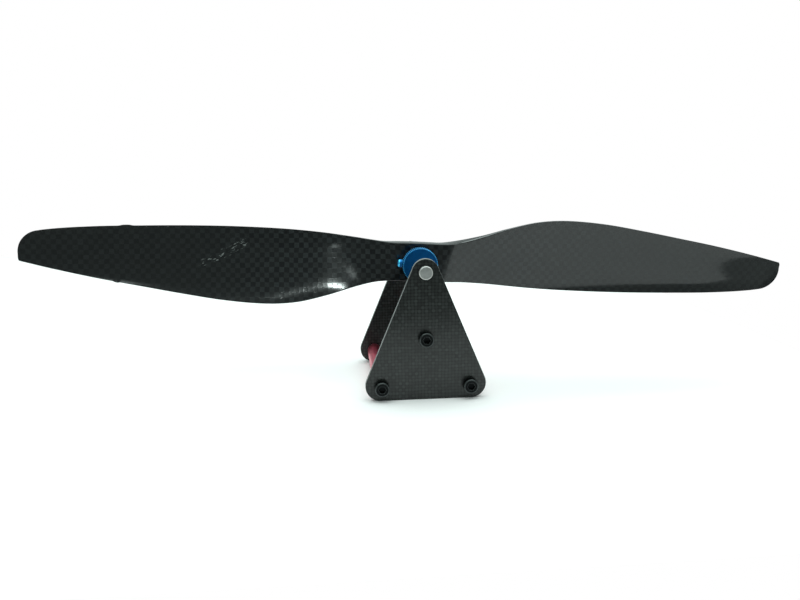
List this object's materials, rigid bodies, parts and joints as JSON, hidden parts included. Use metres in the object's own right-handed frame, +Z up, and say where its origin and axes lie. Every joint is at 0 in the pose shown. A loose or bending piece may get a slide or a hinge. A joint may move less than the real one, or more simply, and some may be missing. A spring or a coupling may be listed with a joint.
{
  "type": "propeller on a balancing stand",
  "caption": "Carbon propeller clamped on the shaft of a magnetic balancing stand with triangular side plates and tube spacers.",
  "frame": {"origin": "on the surface the stand rests on, midway between the plates and straight below the shaft", "axes": "+X along the propeller, +Y from the front plate to the rear plate along the shaft, +Z up"},
  "size_m": [0.3046, 0.06, 0.0647],
  "materials": {
    "plate_carbon": "satin woven carbon laminate with pale cut edges",
    "blade_carbon": "glossy woven carbon with fine scratches",
    "standoff_anodised": "wine-red anodised, satin",
    "screw_black": "black oxide",
    "magnet_nickel": "nickel plated, dull",
    "shaft_steel": "ground steel",
    "collar_anodised": "blue anodised, knurled rim",
    "bush_plastic": "moulded black nylon"
  },
  "bodies": {
    "stand": {"front_plate": "plate_carbon", "rear_plate": "plate_carbon", "left_standoff": "standoff_anodised", "right_standoff": "standoff_anodised", "centre_standoff": "standoff_anodised", "front_left_screw": "screw_black", "front_right_screw": "screw_black", "front_centre_screw": "screw_black", "rear_left_screw": "screw_black", "rear_right_screw": "screw_black", "rear_centre_screw": "screw_black", "front_magnet": "magnet_nickel", "rear_magnet": "magnet_nickel"},
    "rotor": {"shaft": "shaft_steel", "propeller": "blade_carbon", "hub_bush": "bush_plastic"},
    "front_clamp": {"front_collar": "collar_anodised"},
    "front_lock": {"front_lock_screw": "collar_anodised"},
    "rear_clamp": {"rear_collar": "collar_anodised"},
    "rear_lock": {"rear_lock_screw": "collar_anodised"}
  },
  "joints": [
    {"name": "propeller_spin", "type": "hinge", "parent": "stand", "child": "rotor", "pos_m": [0, 0, 0.0482], "axis": [0, -1, 0], "range_deg": [-12.5, 19.5]},
    {"name": "front_clamp_slide", "type": "slide", "parent": "rotor", "child": "front_clamp", "axis": [0, -1, 0], "range_m": [0, 0.009]},
    {"name": "front_lock_turn", "type": "hinge", "parent": "front_clamp", "child": "front_lock", "pos_m": [0, -0.0095, 0.0482], "axis": [-0.9925, 0, 0.1219], "range_deg": [0, 360]},
    {"name": "rear_clamp_slide", "type": "slide", "parent": "rotor", "child": "rear_clamp", "axis": [0, 1, 0], "range_m": [0, 0.009]},
    {"name": "rear_lock_turn", "type": "hinge", "parent": "rear_clamp", "child": "rear_lock", "pos_m": [0, 0.0095, 0.0482], "axis": [0.9925, 0, -0.1219], "range_deg": [0, 360]}
  ]
}
